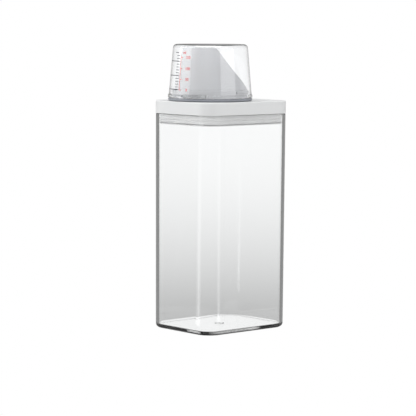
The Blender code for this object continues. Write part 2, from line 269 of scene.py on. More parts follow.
CONTAINER_PLASTIC = clear_plastic("container_plastic", (0.99, 0.995, 0.995), 1.5, 0.00002)
CUP_PLASTIC = clear_plastic("cup_plastic", (0.99, 0.995, 1.0), 1.5, 0.00001)
LID_PLASTIC = white_moulding("lid_plastic", (0.86, 0.87, 0.87), (0.84, 0.85, 0.855), 0.33, 0.00002)
LINER_PLASTIC = white_moulding("liner_plastic", (0.94, 0.94, 0.94), (0.92, 0.92, 0.92), 0.25, 0.00002)
SPOUT_PLASTIC = white_moulding("spout_plastic", (0.71, 0.715, 0.73), (0.69, 0.695, 0.715), 0.2, 0.00001)
SEAL_SILICONE = silicone("seal_silicone", (0.95, 0.95, 0.95), (0.92, 0.92, 0.925), 0.25, 0.0)
ORING_SILICONE = silicone("oring_silicone", (0.70, 0.71, 0.72), (0.64, 0.65, 0.66), 0.4, 0.35)
RING_SILICONE = silicone("ring_silicone", (0.33, 0.345, 0.38), (0.30, 0.315, 0.35), 0.22, 0.0)
RED_INK = printed_ink("red_ink", (0.80, 0.06, 0.05), (0.88, 0.20, 0.18))
DARK_INK = printed_ink("dark_ink", (0.05, 0.05, 0.07), (0.14, 0.14, 0.16))


# ---- mesh helpers ----------------------------------------------------------------------------------
def mesh_object(name, points, faces, finish, sharp=None):
    """An object from points and faces, with outward faces and smooth shading."""
    mesh = bpy.data.meshes.new(name)
    mesh.from_pydata(points, [], faces)
    form = bmesh.new()
    form.from_mesh(mesh)
    bmesh.ops.recalc_face_normals(form, faces=form.faces)
    form.to_mesh(mesh)
    form.free()
    mesh.shade_smooth()
    if sharp is not None:
        mesh.set_sharp_from_angle(angle=math.radians(sharp))
    mesh.materials.append(finish)
    made = bpy.data.objects.new(name, mesh)
    bpy.context.scene.collection.objects.link(made)
    return made


def even_shading(piece):
    """Let the large flat faces keep their own normals up to the fillets."""
    step = piece.modifiers.new("flat_faces", 'WEIGHTED_NORMAL')
    step.mode = 'FACE_AREA'
    step.weight = 100
    step.keep_sharp = True


def loft(name, rings, finish, closed=False, sharp=None):
    """Skin a list of rings that have the same number of points; open ends are capped."""
    count = len(rings[0])
    points = [point for ring in rings for point in ring]
    pairs = list(zip(range(len(rings) - 1), range(1, len(rings))))
    if closed:
        pairs.append((len(rings) - 1, 0))
    faces = []
    for low, high in pairs:
        for index in range(count):
            following = (index + 1) % count
            faces.append((low * count + index, low * count + following,
                          high * count + following, high * count + index))
    if not closed:
        faces.append(tuple(reversed(range(count))))
        faces.append(tuple(range((len(rings) - 1) * count, len(rings) * count)))
    made = mesh_object(name, points, faces, finish, sharp)
    even_shading(made)
    return made


def arc(centre, radius, start, end, steps):
    """Points on an arc in a section plane, angles in degrees."""
    points = []
    for index in range(steps + 1):
        angle = math.radians(start + (end - start) * index / steps)
        points.append((centre[0] + radius * math.cos(angle), centre[1] + radius * math.sin(angle)))
    return points


def rounded_ring(half_x, half_y, radius, height):
    """A level ring round a rectangle with round corners, with support points on its straight sides."""
    points = []
    inner_x, inner_y = half_x - radius, half_y - radius
    corners = ((inner_x, inner_y, 0.0), (-inner_x, inner_y, 90.0),
               (-inner_x, -inner_y, 180.0), (inner_x, -inner_y, 270.0))
    for number, (x, y, start) in enumerate(corners):
        curve = arc((x, y), radius, start, start + 90.0, CORNER_STEPS)
        points += [Vector((px, py, height)) for px, py in curve]
        next_x, next_y, next_start = corners[(number + 1) % 4]
        leave = points[-1]
        angle = math.radians(next_start)
        arrive = Vector((next_x + radius * math.cos(angle), next_y + radius * math.sin(angle), height))
        for share in SIDE_SHARES:
            points.append(leave.lerp(arrive, share))
    return points


def circle_like(ring, centre_x, radius, height):
    """A level circle whose points face those of a ring, so that the two skin without twisting."""
    points = []
    for point in ring:
        angle = math.atan2(point.y, point.x - centre_x)
        points.append(Vector((centre_x + radius * math.cos(angle), radius * math.sin(angle), height)))
    return points


def turned(name, profile, centre_x, finish, closed=False, sharp=None):
    """Turn a profile of (radius, height) points about an upright axis."""
    rings = []
    for radius, height in profile:
        ring = []
        for index in range(TURN_STEPS):
            angle = 2 * math.pi * index / TURN_STEPS
            ring.append(Vector((centre_x + radius * math.cos(angle), radius * math.sin(angle), height)))
        rings.append(ring)
    return loft(name, rings, finish, closed, sharp)


def keep(piece, body, slot, *nodes):
    """Put a piece on a body and hide the CAD nodes it stands for; the slot is not used."""
    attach(piece, body)
    if nodes:
        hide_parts(*nodes)


# ---- container -------------------------------------------------------------------------------------
def make_container():
    """One clear shell: rounded foot, drafted walls, rolled rim and round inner foot."""
    half_x, half_y, top = body_high.x, body_high.y, body_high.z

    def outside(inset, height):
        lean = DRAFT * (1.0 - height / top)
        return rounded_ring(half_x - lean - inset, half_y - lean - inset, CORNER - inset, height)

    def inside(inset, height):
        return outside(WALL + inset, height)

    rings = []
    for inset, height in reversed(arc((FOOT_RADIUS, FOOT_RADIUS), FOOT_RADIUS, 180.0, 270.0, 10)):
        rings.append(outside(inset, height))
    rings.insert(0, outside(FOOT_RADIUS + SUPPORT, 0.0))
    rings.insert(0, outside(CORNER - CAP_MARGIN, 0.0))
    for share in WALL_SHARES:
        rings.append(outside(0.0, FOOT_RADIUS + (top - RIM_RADIUS - FOOT_RADIUS) * share))
    for inset, height in arc((RIM_RADIUS, top - RIM_RADIUS), RIM_RADIUS, 180.0, 90.0, 5):
        rings.append(outside(inset, height))
    for inset, height in arc((WALL - RIM_RADIUS, top - RIM_RADIUS), RIM_RADIUS, 90.0, 0.0, 5):
        rings.append(outside(inset, height))
    low = FLOOR + INNER_FOOT_RADIUS
    for share in reversed(WALL_SHARES):
        rings.append(inside(0.0, low + (top - RIM_RADIUS - low) * share))
    for inset, height in arc((INNER_FOOT_RADIUS, low), INNER_FOOT_RADIUS, 180.0, 270.0, 8):
        rings.append(inside(inset, height))
    rings.append(inside(INNER_FOOT_RADIUS + SUPPORT, FLOOR))
    rings.append(inside(CORNER - WALL - CAP_MARGIN, FLOOR))
    shell = loft("container_shell", rings, CONTAINER_PLASTIC)
    keep(shell, "root", "clear_plastic", "container")


def make_gate_mark():
    """The ring that the moulding gate leaves in the middle of the container's floor."""
    rise = GATE_HEIGHT / 2
    mark = [(GATE_RADIUS - rise, FLOOR - rise), (GATE_RADIUS - rise, FLOOR + rise)]
    mark += arc((GATE_RADIUS, FLOOR + rise), rise, 180.0, 0.0, 6)
    mark += [(GATE_RADIUS + rise, FLOOR - rise)]
    gate = turned("gate_mark", mark, 0.0, CONTAINER_PLASTIC, closed=True)
    keep(gate, "root", "clear_plastic")


# ---- lid -------------------------------------------------------------------------------------------
def make_lid():
    """The lid's white shell: skirt, filleted top edge and the hole for the neck."""
    half_x, half_y = lid_high.x, lid_high.y
    bottom, top = lid_low.z, lid_high.z
    radius = half_x - body_high.x + CORNER

    def level(inset, height):
        return rounded_ring(half_x - inset, half_y - inset, max(radius - inset, EDGE), height)

    hole = NECK_RADIUS + THROAT_GAP
    rings = []
    for inset, height in arc((EDGE, bottom + EDGE), EDGE, 270.0, 180.0, 4):
        rings.append(level(inset, height))
    rings.append(level(0.0, bottom + 2 * EDGE))
    rings.append(level(0.0, (bottom + top) / 2))
    rings.append(level(0.0, top - LID_EDGE - EDGE))
    for inset, height in arc((LID_EDGE, top - LID_EDGE), LID_EDGE, 180.0, 90.0, 7):
        rings.append(level(inset, height))
    plate = level(LID_EDGE + EDGE, top)
    rings.append(plate)
    rings.append(circle_like(plate, FLOW_X, hole + EDGE, top))
    rings.append(circle_like(plate, FLOW_X, hole, top - EDGE))
    rings.append(circle_like(plate, FLOW_X, hole, top - LID_WALL))
    rings.append(level(LID_WALL + EDGE, top - LID_WALL))
    rings.append(level(LID_WALL, top - LID_WALL - EDGE))
    rings.append(level(LID_WALL, bottom + EDGE))
    rings.append(level(LID_WALL - EDGE, bottom))
    shell = loft("lid_shell", rings, LID_PLASTIC, closed=True)
    keep(shell, "lid", "white_plastic", "lid_cover")


def make_liner():
    """The white liner under the lid: plate, wall, ledge for the gasket and the throat for the neck."""
    half_x, half_y = plug_high.x, plug_high.y
    bottom, top = plug_low.z, plug_high.z
    plate_low = lid_low.z
    plate_radius = CORNER - (body_high.x - half_x)
    wall_inset = half_x - (body_high.x - WALL - PLUG_GAP)

    def level(inset, height):
        return rounded_ring(half_x - inset, half_y - inset, max(plate_radius - inset, LEAST_RADIUS), height)

    throat = NECK_RADIUS + THROAT_GAP
    outer_throat = throat + PLUG_WALL
    ledge_inset = wall_inset - PLUG_SEAL_STEP
    ledge_top = bottom + LEDGE_HEIGHT
    inner_inset = wall_inset + PLUG_WALL
    plate = level(EDGE, plate_low + PLUG_PLATE)
    rings = [level(EDGE, plate_low), level(0.0, plate_low + EDGE), level(0.0, plate_low + PLUG_PLATE - EDGE),
             plate,
             circle_like(plate, FLOW_X, outer_throat + EDGE, plate_low + PLUG_PLATE),
             circle_like(plate, FLOW_X, outer_throat, plate_low + PLUG_PLATE + EDGE),
             circle_like(plate, FLOW_X, outer_throat, top - EDGE),
             circle_like(plate, FLOW_X, outer_throat - EDGE, top),
             circle_like(plate, FLOW_X, throat + EDGE, top),
             circle_like(plate, FLOW_X, throat, top - EDGE),
             circle_like(plate, FLOW_X, throat, plate_low + EDGE),
             circle_like(plate, FLOW_X, throat + EDGE, plate_low),
             level(inner_inset + EDGE, plate_low),
             level(inner_inset, plate_low - EDGE),
             level(inner_inset, bottom + EDGE),
             level(inner_inset - EDGE, bottom),
             level(ledge_inset + EDGE, bottom),
             level(ledge_inset, bottom + EDGE),
             level(ledge_inset, ledge_top - EDGE),
             level(ledge_inset + EDGE, ledge_top),
             level(wall_inset, ledge_top),
             level(wall_inset, ledge_top + EDGE),
             level(wall_inset, plate_low)]
    liner = loft("lid_liner", rings, LINER_PLASTIC, closed=True)
    keep(liner, "lid", "white_liner_plastic", "lid_plug")


def make_gasket():
    """The silicone gasket: a band with two rounded lips that reach the container's wall."""
    half_x, half_y = seal_high.x, seal_high.y
    bottom, top = seal_low.z, seal_high.z
    radius = CORNER - (body_high.x - half_x)
    band = 0.5 * MM
    lip = 0.9 * MM
    inner = 1.4 * MM
    soft = 0.15 * MM

    def level(inset, height):
        return rounded_ring(half_x - inset, half_y - inset, radius - inset, height)

    section = [(inner, bottom), (soft, bottom)]
    section += arc((lip / 2, bottom + lip / 2), lip / 2, 250.0, 110.0, 6)
    section += [(band, bottom + lip + soft), (band, SEAL_UPPER_LIP - soft)]
    section += arc((lip / 2, SEAL_UPPER_LIP + lip / 2), lip / 2, 250.0, 110.0, 6)
    section += [(band, SEAL_UPPER_LIP + lip + soft), (band, top - soft), (band + soft, top), (inner, top)]
    rings = [level(inset, height) for inset, height in section]
    gasket = loft("lid_gasket", rings, SEAL_SILICONE, closed=True)
    keep(gasket, "lid", "lid_seal_silicone", "lid_seal")


# ---- spout -----------------------------------------------------------------------------------------
COLLAR_TOP = lid_high.z + COLLAR_HEIGHT
SCOOP_RADIUS = 92.8 * MM
SCOOP_X = 55.8 * MM
SCOOP_Z = 304.9 * MM
BEAK_TOP = 263.0 * MM
BEAK_SLOPE = math.tan(math.radians(2.5))
BLEND = 1.1 * MM               # how round the corner is between the beak's top and its mouth
BLEND_REACH = 20.0             # the corner's effect ends after this many times its roundness
LEAST_BEAK = 0.2 * MM          # the beak's height over the collar where the scoop is deepest
BEAK_WALL_STEPS = 14
LIP_STEPS = 5


def beak_radius(height):
    """Outside radius of the beak at one height."""
    share = (height - COLLAR_TOP) / (BEAK_TOP - COLLAR_TOP)
    return BEAK_FOOT + (BEAK_TIP - BEAK_FOOT) * share


def rim_height(x):
    """Height of the beak's rim over a place along the lid: a slightly sloping top, then a scoop."""
    top = BEAK_TOP - BEAK_SLOPE * (x - (FLOW_X - BEAK_TIP))
    reach = SCOOP_RADIUS ** 2 - (x - SCOOP_X) ** 2
    if reach <= 0.0:
        return top
    scoop = SCOOP_Z - math.sqrt(reach)
    gap = (top - scoop) / BLEND
    if gap > BLEND_REACH:
        return max(scoop, COLLAR_TOP + LEAST_BEAK)
    if gap < -BLEND_REACH:
        return top
    soft = top - BLEND * math.log(1.0 + math.exp(gap))
    return max(soft, COLLAR_TOP + LEAST_BEAK)


def rim_on_wall(angle, inset):
    """Where a wall of the beak, at one angle, meets the rim's surface, found by repeated guesses."""
    guesses = 12
    height = COLLAR_TOP + 20.0 * MM
    for _ in range(guesses):
        x = FLOW_X + (beak_radius(height) - inset) * math.cos(angle)
        height = rim_height(x)
    return height


def make_beak():
    """Neck and beak in one closed shell: out of the lid, up to a scooped mouth with a round rim."""
    neck_low = spout_low.z
    inner_turn = lid_high.z
    roll = 0.7 * MM
    columns = []
    for index in range(TURN_STEPS * 2):
        angle = math.pi * index / TURN_STEPS
        outer_rim = rim_on_wall(angle, 0.0)
        inner_rim = rim_on_wall(angle, BEAK_WALL)
        section = [(NECK_RADIUS, neck_low + EDGE), (NECK_RADIUS, NECK_SUPPORT),
                   (NECK_RADIUS, NECK_WIDENS), (BEAK_FOOT, NECK_WIDE), (BEAK_FOOT, COLLAR_TOP - 0.5 * MM)]
        foot = COLLAR_TOP - EDGE
        section.append((beak_radius(foot), foot))
        start = COLLAR_TOP
        outer_end = outer_rim - min(roll, (outer_rim - start) * 0.5)
        for step in range(BEAK_WALL_STEPS + 1):
            height = start + (outer_end - start) * step / BEAK_WALL_STEPS
            section.append((beak_radius(height), height))
        across = beak_radius(outer_rim)
        for step in range(1, LIP_STEPS + 1):
            turn = math.radians(90.0 * step / LIP_STEPS)
            lift = (outer_rim - outer_end) * math.sin(turn)
            section.append((across - roll * (1.0 - math.cos(turn)), outer_end + lift))
        inner_across = beak_radius(inner_rim) - BEAK_WALL
        inner_end = inner_rim - min(roll, (inner_rim - start) * 0.5)
        for step in range(LIP_STEPS, 0, -1):
            turn = math.radians(90.0 * step / LIP_STEPS)
            lift = (inner_rim - inner_end) * math.sin(turn)
            section.append((inner_across + roll * (1.0 - math.cos(turn)), inner_end + lift))
        for step in range(BEAK_WALL_STEPS, -1, -1):
            height = start + (inner_end - start) * step / BEAK_WALL_STEPS
            section.append((beak_radius(height) - BEAK_WALL, height))
        section += [(NECK_INNER + EDGE, inner_turn + 1.0 * MM), (NECK_INNER, inner_turn),
                    (NECK_INNER, neck_low + EDGE), (NECK_INNER + EDGE, neck_low),
                    (NECK_RADIUS - EDGE, neck_low)]
        columns.append([Vector((FLOW_X + radius * math.cos(angle), radius * math.sin(angle), height))
                        for radius, height in section])
    rings = [list(ring) for ring in zip(*columns)]
    beak = loft("spout_beak", rings, SPOUT_PLASTIC, closed=True)
    keep(beak, "lid", "spout_plastic", "pour_spout")


def make_collar():
    """The round collar that the cup sits over, with a rounded upper edge."""
    bottom = spout_low.z + COLLAR_FOOT
    edge = 0.8 * MM
    section = [(COLLAR_BORE, bottom), (COLLAR_RADIUS - EDGE, bottom), (COLLAR_RADIUS, bottom + EDGE)]
    section += [(COLLAR_RADIUS, (bottom + COLLAR_TOP) / 2)]
    section += arc((COLLAR_RADIUS - edge, COLLAR_TOP - edge), edge, 0.0, 90.0, 6)
    section += [(COLLAR_BORE, COLLAR_TOP)]
    collar = turned("spout_collar", section, AXIS_X, SPOUT_PLASTIC, closed=True)
    keep(collar, "lid", "spout_plastic")


LUG_LOW = 220.0 * MM
LUG_HIGH = 222.6 * MM
LUG_REACH = 35.8 * MM
LUG_HALF = math.radians(23.0)
LUG_ANGLE = math.radians(-66.0)
LUG_SINK = 0.5 * MM            # how far a collar's lug reaches into the collar
LUG_EDGE = 0.35 * MM
CUP_LUG_REACH = 35.3 * MM
CUP_LUG_HIGH = 219.2 * MM
CUP_LUG_LIFT = 0.6 * MM        # from the cup's rim to its lugs
CUP_LUG_SINK = 0.2 * MM        # how far they reach into the cup's wall
CUP_LUG_HALF = math.radians(19.0)


def curved_bar(name, centre_x, inner, outer, low, high, middle, half, edge, finish):
    """A short bar bent round an upright axis, with round ends and edges."""
    rings = []
    steps = 28
    end_steps = 6
    stations = []
    reach = (high - low) / 2
    end_angle = reach / outer
    for step in range(end_steps):
        turn = math.radians(90.0 * step / end_steps)
        stations.append((-half + end_angle * (1.0 - math.cos(turn)), math.sin(turn)))
    for step in range(steps + 1):
        stations.append((-half + end_angle + (2 * half - 2 * end_angle) * step / steps, 1.0))
    for step in range(end_steps - 1, -1, -1):
        turn = math.radians(90.0 * step / end_steps)
        stations.append((half - end_angle * (1.0 - math.cos(turn)), math.sin(turn)))
    centre_z = (low + high) / 2
    for angle, share in stations:
        tall = max(reach * share, edge * 1.05)
        section = [(inner, centre_z - tall), (outer - edge, centre_z - tall)]
        section += arc((outer - edge, centre_z - tall + edge), edge, 270.0, 360.0, 4)[1:]
        section += arc((outer - edge, centre_z + tall - edge), edge, 0.0, 90.0, 4)
        section += [(inner, centre_z + tall)]
        direction = middle + angle
        rings.append([Vector((centre_x + radius * math.cos(direction), radius * math.sin(direction), height))
                      for radius, height in section])
    return loft(name, rings, finish)


def make_lugs():
    """The collar's two lugs, which the cup's own lugs turn under."""
    for number in range(2):
        lug = curved_bar(f"spout_lug_{number + 1}", AXIS_X, COLLAR_RADIUS - LUG_SINK, LUG_REACH, LUG_LOW,
                         LUG_HIGH, LUG_ANGLE + math.pi * number, LUG_HALF, LUG_EDGE, SPOUT_PLASTIC)
        keep(lug, "lid", "spout_plastic")


def make_oring():
    """The O-ring under the collar."""
    radius = (oring_high.z - oring_low.z) / 2
    centre = ((oring_high.x - oring_low.x) / 2 - radius, (oring_high.z + oring_low.z) / 2)
    ring = turned("spout_oring", arc(centre, radius, 0.0, 360.0, 20)[:-1], FLOW_X, ORING_SILICONE,
                  closed=True)
    keep(ring, "lid", "spout_seal_silicone", "spout_seal")


# ---- cup -------------------------------------------------------------------------------------------
def make_cup_ring():
    """The soft ring round the collar: a round bead with a shallow step on top."""
    outer = (ring_high.x - ring_low.x) / 2
    inner = outer - 3.7 * MM
    low, high = ring_low.z, ring_high.z
    soft = 0.2 * MM
    bead = (high - low) / 2 - 0.1 * MM
    step = outer - bead - 0.4 * MM
    middle = (high + low) / 2
    section = [(inner, high - soft), (inner + soft, high), (step, high)]
    section += arc((outer - bead, middle), bead, 80.0, -80.0, 14)
    section += [(step, low), (inner + soft, low), (inner, low + soft)]
    ring = turned("cup_ring", section, AXIS_X, RING_SILICONE, closed=True)
    keep(ring, "seal_ring", "cup_seal_silicone", "cup_seal")


def cup_radius(height):
    """Outside radius of the cup's wall at one height."""
    foot = cup_low.z + CUP_FLANGE
    return CUP_FOOT + (CUP_TIP - CUP_FOOT) * (height - foot) / CUP_TAPER


def make_cup():
    """The clear cup, mouth down: closed end, tapered wall, rim bead and two lugs inside."""
    low, high = cup_low.z, cup_high.z
    flange = (cup_high.x - cup_low.x) / 2
    corner = high - CUP_CORNER
    inner_high = high - CUP_END
    inner_corner = CUP_CORNER - CUP_WALL
    flange_edge = 0.9 * MM
    rim_edge = 0.5 * MM
    beside = 1.0 * MM
    wall_steps = 6
    section = [(CAP_RADIUS, high), (cup_radius(corner) - CUP_CORNER - beside, high)]
    section += arc((cup_radius(corner) - CUP_CORNER, corner), CUP_CORNER, 90.0, 5.0, 12)
    wall_top = corner - SUPPORT
    wall_low = low + CUP_FLANGE + 0.8 * MM
    for step in range(wall_steps + 1):
        height = wall_top + (wall_low - wall_top) * step / wall_steps
        section.append((cup_radius(height), height))
    section += [(cup_radius(low + CUP_FLANGE) + 0.1 * MM, low + CUP_FLANGE)]
    section += arc((flange - flange_edge, low + CUP_FLANGE - flange_edge), flange_edge, 70.0, 0.0, 6)
    section += arc((flange - rim_edge, low + rim_edge), rim_edge, 0.0, -90.0, 5)
    inner_foot = cup_radius(low) - CUP_WALL
    section += [(inner_foot + EDGE, low), (inner_foot, low + EDGE)]
    inner_wall_top = inner_high - inner_corner - EDGE
    for step in range(wall_steps + 1):
        height = low + beside + (inner_wall_top - low - beside) * step / wall_steps
        section.append((cup_radius(height) - CUP_WALL, height))
    inner_z = inner_high - inner_corner
    section += arc((cup_radius(inner_z) - CUP_WALL - inner_corner, inner_z), inner_corner, 0.0, 90.0, 9)
    flat = cup_radius(inner_z) - CUP_WALL - inner_corner - beside
    section += [(flat, inner_high), (CAP_RADIUS, inner_high)]
    cup = turned("cup_shell", section, AXIS_X, CUP_PLASTIC)
    keep(cup, "cup", "cup_plastic", "measuring_cup")
    for number in range(2):
        middle = LUG_ANGLE + math.radians(90.0) + math.pi * number
        lug = curved_bar(f"cup_lug_{number + 1}", AXIS_X, CUP_LUG_REACH, inner_foot + CUP_LUG_SINK,
                         low + CUP_LUG_LIFT, CUP_LUG_HIGH, middle, CUP_LUG_HALF, EDGE, CUP_PLASTIC)
        keep(lug, "cup", "cup_plastic")


# ---- the cup's printed scale -----------------------------------------------------------------------
SCALE_ANGLE = math.radians(180.0)        # the scale is printed on the side away from the mouth
INK_THICKNESS = 0.03 * MM
INK_SINK = 0.01 * MM                     # how far the ink reaches into the wall
INK_STEP = 1.5                           # degrees of the cup that one flat of a mark covers
LETTER_SWELL = 0.06 * MM                 # thickens the letters' strokes
TICK = 0.6 * MM                          # height of a fine mark
LINE = 0.65 * MM                         # height of a long mark
PITCH = 2.6 * MM                         # between fine marks
SCALE_ZERO = 223.4 * MM
SCALE_MARKS = 12
FINE_MARK = (-10.5, -3.2)                # start and end of each kind of mark, in degrees from the scale
LONG_MARK = (-34.0, -3.2)
UNIT_MARK = (-15.0, -6.0)
LADDER = (-0.4, 0.4)
RUNG = (0.5, 3.6)
LONG_MARK_HEIGHTS = (0.4 * MM, 13.1 * MM, 26.2 * MM)
NUMBERS = (("0", 0.0), ("50", 9.7 * MM), ("100", 19.4 * MM), ("150", 29.6 * MM))
UNIT_HEIGHT = 34.0 * MM
UNIT_ANGLE = math.radians(6.5)
NUMBER_SIZE = 3.6 * MM
NUMBER_ANGLE = math.radians(13.5)


def on_cup(angle, height, lift):
    """A point over the cup's wall; the angle runs to the right, seen from outside, from the scale."""
    radius = cup_radius(height) + lift
    direction = SCALE_ANGLE + angle
    return Vector((AXIS_X + radius * math.cos(direction), radius * math.sin(direction), height))


def printed_patch(points, faces, start, end, low, high):
    """Add a thin closed slab of ink, bent to the cup, to a list of points and faces."""
    steps = max(2, math.ceil(math.degrees(end - start) / INK_STEP))
    base = len(points)
    outline = ((low, -INK_SINK), (low, INK_THICKNESS), (high, INK_THICKNESS), (high, -INK_SINK))
    for step in range(steps + 1):
        angle = start + (end - start) * step / steps
        for height, lift in outline:
            points.append(on_cup(angle, height, lift))
    for step in range(steps):
        for side in range(4):
            following = (side + 1) % 4
            faces.append((base + step * 4 + side, base + step * 4 + following,
                          base + step * 4 + 4 + following, base + step * 4 + 4 + side))
    faces.append((base, base + 3, base + 2, base + 1))
    last = base + steps * 4
    faces.append((last, last + 1, last + 2, last + 3))


def printed_marks(name, marks, finish):
    """One piece of ink made of marks: start and end in degrees, middle height and thickness."""
    points, faces = [], []
    for start, end, middle, thickness in marks:
        printed_patch(points, faces, math.radians(start), math.radians(end), middle - thickness / 2,
                      middle + thickness / 2)
    ink = mesh_object(name, points, faces, finish, sharp=30.0)
    keep(ink, "cup", "cup_plastic")


def printed_text(name, text, angle, middle, size, finish):
    """Printed characters, bent to the cup."""
    curve = bpy.data.curves.new(name, 'FONT')
    curve.body = text
    curve.size = size
    curve.align_x = 'CENTER'
    curve.align_y = 'CENTER'
    curve.extrude = (INK_THICKNESS + INK_SINK) / 2
    curve.offset = LETTER_SWELL
    curve.resolution_u = 3
    flat = bpy.data.objects.new(name, curve)
    mesh = bpy.data.meshes.new_from_object(flat)
    bpy.data.objects.remove(flat)
    bpy.data.curves.remove(curve)
    form = bmesh.new()
    form.from_mesh(mesh)
    bmesh.ops.remove_doubles(form, verts=form.verts, dist=0.001 * MM)
    for vert in form.verts:
        height = middle + vert.co.y
        lift = (INK_THICKNESS - INK_SINK) / 2 + vert.co.z
        vert.co = on_cup(angle + vert.co.x / cup_radius(height), height, lift)
    bmesh.ops.recalc_face_normals(form, faces=form.faces)
    form.to_mesh(mesh)
    form.free()
    mesh.materials.clear()
    mesh.materials.append(finish)
    ink = bpy.data.objects.new(name, mesh)
    bpy.context.scene.collection.objects.link(ink)
    keep(ink, "cup", "cup_plastic")


def make_scale():
    """Fine and long dark marks, a red ladder and red numbers."""
    top = SCALE_ZERO + PITCH * SCALE_MARKS
    dark = []
    for number in range(SCALE_MARKS + 1):
        dark.append((*FINE_MARK, SCALE_ZERO + PITCH * number, TICK))
    for height in LONG_MARK_HEIGHTS:
        dark.append((*LONG_MARK, SCALE_ZERO + height, LINE))
    dark.append((*UNIT_MARK, SCALE_ZERO + UNIT_HEIGHT, LINE))
    printed_marks("scale_dark", dark, DARK_INK)
    red = [(*LADDER, (SCALE_ZERO + top) / 2, top - SCALE_ZERO)]
    for text, height in NUMBERS:
        red.append((*RUNG, SCALE_ZERO + height, TICK))
        printed_text(f"scale_number_{text}", text, NUMBER_ANGLE, SCALE_ZERO + height, NUMBER_SIZE, RED_INK)
    printed_marks("scale_red", red, RED_INK)
    printed_text("scale_unit", "ml", UNIT_ANGLE, SCALE_ZERO + UNIT_HEIGHT, NUMBER_SIZE, RED_INK)


# ---- floor, world and lights -----------------------------------------------------------------------
# Brightness of the stage for the kinds of light ray that by_path tells apart.  EDGE is for rays along a
# wall's inside or under the foot, THROUGH for rays through walls, OTHER for light on open pieces.  The
# floor's low EDGE glow near the object is painted shade on the container's upright edges and foot.
SEEN = 1.0                     # seen directly
LIGHT_BEHIND = 0.92            # as light on pieces behind clear plastic
WORLD_EDGE = 0.85
WORLD_THROUGH = 0.99
WORLD_OTHER = 0.45
# Painted shade: near the object the floor glows dark for rays along a wall's inside.
FLOOR_EDGE_NEAR = 0.24
FLOOR_EDGE_FAR = 0.8
FLOOR_FAR = 5.0                # distance at which the floor's edge value changes
FLOOR_OTHER = 0.5
FLOOR_THROUGH = 1.03           # far away; painted shade darkens it towards the object, by this at the object's middle
FLOOR_FALL = -0.583            # by this at the object's middle
FLOOR_FALL_REACH = 0.65
FLOOR_UNDER = 0.93             # painted light under the object's foot
UNDER_RADIUS = 0.06

FLOOR_RADIUS = 14.0
FLOOR_SINK = 0.2 * MM
# Painted pools of light on the floor, which glow with no lamp behind them: azimuth from the camera's and
# half width in degrees, and brightness.
NEAR_POOLS = ((-75.0, 12.5, 2.0), (66.0, 7.5, 1.7))
FAR_POOLS = ((-68.0, 7.0, 3.0),)
NEAR_POOL_START = 0.10         # the painted pools glow only this far from the object's middle and beyond
FAR_POOL_START = 0.16
POOL_FADE = 1.2                # distance over which the pools grow dim
POOL_SOFTNESS = 4.0            # degrees on each side of a pool's edge

# Name, azimuth from the camera's in degrees, distance, height, width, tall, radiance, and how much brighter
# the light is on pieces behind clear plastic.
SOFTBOXES = (
    ("softbox_left", -84.0, 1.0, 0.80, 0.90, 1.05, 1.5, 2.4),
    ("softbox_right", 52.0, 1.0, 0.80, 0.85, 1.05, 1.2, 1.0),
    ("softbox_front", -12.0, 1.7, 0.95, 1.10, 0.80, 1.1, 1.0),
    ("softbox_top", -60.0, 0.1, 1.5, 1.0, 1.0, 3.2, 1.0),
)


def math_node(tree, operation, first, second=None, third=None):
    """One sum; each input is a number or a socket."""
    made = tree.nodes.new("ShaderNodeMath")
    made.operation = operation
    for index, value in enumerate((first, second, third)):
        if value is None:
            continue
        if isinstance(value, (int, float)):
            made.inputs[index].default_value = value
        else:
            tree.links.new(value, made.inputs[index])
    return made.outputs["Value"]


def mix_value(tree, factor, first, second):
    """Choose between two values, each a number or a socket."""
    made = tree.nodes.new("ShaderNodeMix")
    made.data_type = 'FLOAT'
    tree.links.new(factor, made.inputs["Factor"])
    for name, value in (("A", first), ("B", second)):
        if isinstance(value, (int, float)):
            made.inputs[name].default_value = value
        else:
            tree.links.new(value, made.inputs[name])
    return made.outputs["Result"]


def after_bounces(tree, light_path, kind, count):
    """1 for a ray that has met at least this many surfaces of one kind, otherwise 0."""
    return math_node(tree, 'GREATER_THAN', light_path.outputs[kind], count - 0.5)


def by_path(tree, light_path, edge, through, other, foot=0.0):
    """Brightness of the studio: as seen directly, along a wall's inside or under the foot, through walls,
    as light on open pieces, or as light on pieces that stand behind clear plastic.  A ray that has gone
    through four surfaces counts as through walls, even if it was mirrored on the way."""
    deep = after_bounces(tree, light_path, "Transmission Depth", 1)
    deeper = after_bounces(tree, light_path, "Transmission Depth", 4)
    lit = after_bounces(tree, light_path, "Diffuse Depth", 1)
    piped = math_node(tree, 'MAXIMUM', after_bounces(tree, light_path, "Glossy Depth", 1), foot)
    seen = mix_value(tree, deep, other, mix_value(tree, piped, through, edge))
    seen = mix_value(tree, deeper, seen, through)
    seen = mix_value(tree, lit, seen, mix_value(tree, deep, other, LIGHT_BEHIND))
    return mix_value(tree, light_path.outputs["Is Camera Ray"], seen, SEEN)


